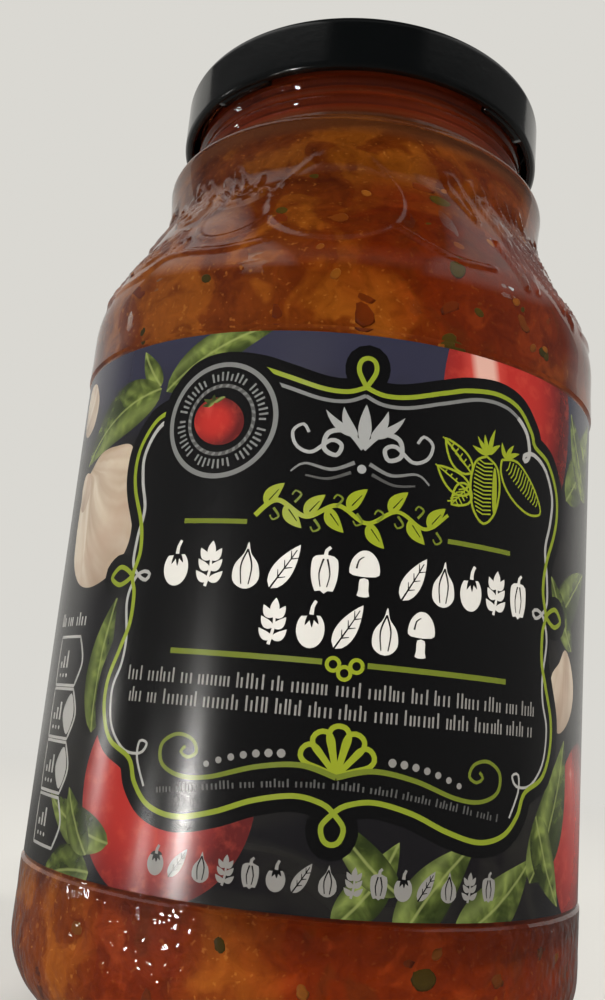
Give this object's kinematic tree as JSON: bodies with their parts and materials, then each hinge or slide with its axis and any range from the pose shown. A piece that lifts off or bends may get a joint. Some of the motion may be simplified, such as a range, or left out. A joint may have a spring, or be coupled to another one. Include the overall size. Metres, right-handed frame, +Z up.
{
  "type": "tomato sauce jar",
  "caption": "Round glass jar of tomato sauce with a wrap-round paper label, a threaded neck and a twist-on black steel lid, closed and full.",
  "frame": {"origin": "middle of the foot ring, on the surface that the jar stands on", "axes": "+Z up along the jar's axis, -Y towards the front of the label"},
  "size_m": [0.088, 0.088, 0.1559],
  "materials": {
    "jar_glass": "clear smooth glass",
    "tomato_sauce": "wet and lumpy",
    "label_paper": "satin coated paper",
    "lid_enamel": "gloss black enamel"
  },
  "bodies": {
    "root": {"glass": "jar_glass", "sauce": "tomato_sauce", "label": "label_paper", "lid": "lid_enamel"}
  },
  "joints": []
}
